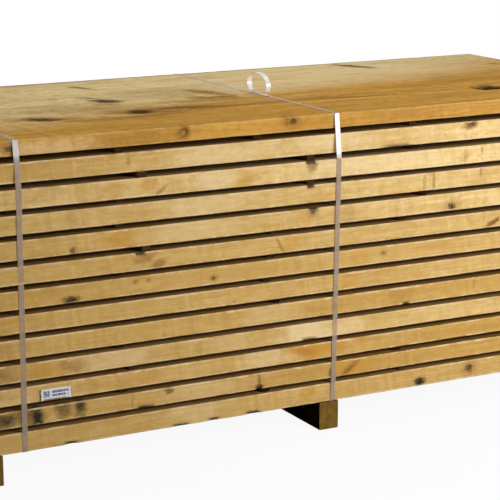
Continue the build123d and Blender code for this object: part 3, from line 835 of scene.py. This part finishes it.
squares = reckon(tree, "FLOOR", reckon(tree, "SCALE", place, 640.0))
cells = put(tree, "ShaderNodeTexWhiteNoise", {"Vector": squares}).outputs["Value"]
block = calc(tree, "MULTIPLY", between(tree, across_paper, 0.09, 0.3), between(tree, up_paper, 0.22, 0.8))
ink = calc(tree, "MULTIPLY", block, fade(tree, cells, 0.35, 0.4, 0.25, 1.0))
dashes = cloud(tree, calc(tree, "MULTIPLY", across_paper, 15.0), 1.0, 2.0, size=1)[0]
for low, high, left, right in ((0.56, 0.78, 0.36, 0.92), (0.26, 0.46, 0.36, 0.84)):
    bar = calc(tree, "MULTIPLY", between(tree, up_paper, low, high, 0.02),
               between(tree, across_paper, left, right))
    ink = calc(tree, "MAXIMUM", ink, calc(tree, "MULTIPLY", bar, fade(tree, dashes, 0.4, 0.48, 0.3, 0.95)))
crease = cloud(tree, place, 90.0, 3.0, 0.6)[0]
sheet_colour = tint(tree, fade(tree, crease, 0.35, 0.7), (0.84, 0.84, 0.86, 1), (0.74, 0.73, 0.74, 1))
link(tree, shader.inputs, Base_Color=tint(tree, ink, sheet_colour, (0.055, 0.06, 0.13, 1)),
     Roughness=fade(tree, crease, 0.3, 0.7, 0.5, 0.65), Normal=relief(tree, crease, 0.3, 0.0004))

slip = bmesh.new()
bmesh.ops.create_grid(slip, x_segments=22, y_segments=8, size=0.5)
for vert in slip.verts:
    along_slip, up_slip = vert.co.x + 0.5, vert.co.y + 0.5
    corner = max(0.0, abs(vert.co.x) - 0.36) / 0.14 * (abs(vert.co.y) * 2) ** 2
    lift = 0.0006 + 0.0022 * corner ** 2 * (1.3 if vert.co.x > 0 else 0.7)
    lift += 0.0003 * (1 + wander(3, along_slip, 0.22) + wander(5, up_slip, 0.35))
    vert.co = label_low + Vector((along_slip * label_size.x, -lift, up_slip * label_size.z))
bmesh.ops.solidify(slip, geom=slip.faces[:], thickness=paper_thickness)
bmesh.ops.recalc_face_normals(slip, faces=slip.faces[:])
slip.verts.index_update()
slip.faces.sort(key=corner_order)
for face in slip.faces:
    face.smooth = True
show(meshed(slip, "slip"), "paper_label", [paper])


# Floor and background: a white floor that keeps the stack's shadow close by and runs out to plain white.
# Both are white to the camera, in reflections and through the straps, and light the stack only a little.
def seen(tree):
    rays = put(tree, "ShaderNodeLightPath").outputs
    mirrored = calc(tree, "MAXIMUM", rays["Is Glossy Ray"], rays["Is Transmission Ray"])
    return calc(tree, "MAXIMUM", rays["Is Camera Ray"], mirrored)


floor_size = 60.0
white_from, white_beyond = 1.5, 3.4
floor_shape = bmesh.new()
bmesh.ops.create_grid(floor_shape, x_segments=2, y_segments=2, size=floor_size / 2)
floor_mesh = meshed(floor_shape, "floor")
floor = bpy.data.objects.new("floor", floor_mesh)
objects.link(floor)
floor_material, tree, shader, place = new_material("floor")
far = fade(tree, reckon(tree, "LENGTH", place), white_from, white_beyond, 0.93, 1.0)
shown = seen(tree)
paint = tint(tree, shown, (0.4, 0.4, 0.4, 1), (0.95, 0.95, 0.95, 1))
matt = put(tree, "ShaderNodeBsdfDiffuse", {"Color": paint}).outputs[0]
white = put(tree, "ShaderNodeEmission", {"Color": (1, 1, 1, 1), "Strength": 1.0}).outputs[0]
glow = calc(tree, "MULTIPLY", shown, far)
mixed = put(tree, "ShaderNodeMixShader", {0: glow, 1: matt, 2: white}).outputs[0]
link(tree, tree.nodes["Material Output"].inputs, Surface=mixed)
tree.nodes.remove(shader)
floor_mesh.materials.append(floor_material)

world = bpy.data.worlds.new("world")
world.use_nodes = True
bpy.context.scene.world = world
tree = world.node_tree
background = tree.nodes["Background"]
background.inputs["Color"].default_value = (1, 1, 1, 1)
strength = put(tree, "ShaderNodeMapRange", {"Value": seen(tree), "To Min": 0.12, "To Max": 1.0}).outputs[0]
link(tree, background.inputs, Strength=strength)


# Light: a tall soft box in front on the right, from the floor up, whose light reaches only a little
# way into the gaps, a wide one overhead for the top of the stack, and two weak ones behind it.
def lamp(name, place, target, size, watts):
    data = bpy.data.lights.new(name, "AREA")
    data.shape = "RECTANGLE"
    data.size, data.size_y = size
    data.energy = watts
    made = bpy.data.objects.new(name, data)
    made.location = place
    made.rotation_euler = (Vector(target) - Vector(place)).to_track_quat("-Z", "Y").to_euler()
    objects.link(made)


lamp("key", (2.1, -3.6, 1.6), (0.3, -0.5, 0.6), (2.0, 1.7), 127.0)
lamp("overhead", (0.3, 0.75, 3.3), (0.1, 0.2, 0.9), (3.4, 1.6), 35.0)
lamp("back_left", (-3.4, 2.6, 1.3), (-0.9, 0.5, 0.4), (1.8, 1.5), 55.0)
lamp("back_right", (3.6, 2.2, 1.3), (1.2, 0.4, 0.4), (1.8, 1.5), 55.0)
bpy.context.scene.view_settings.view_transform = "Standard"
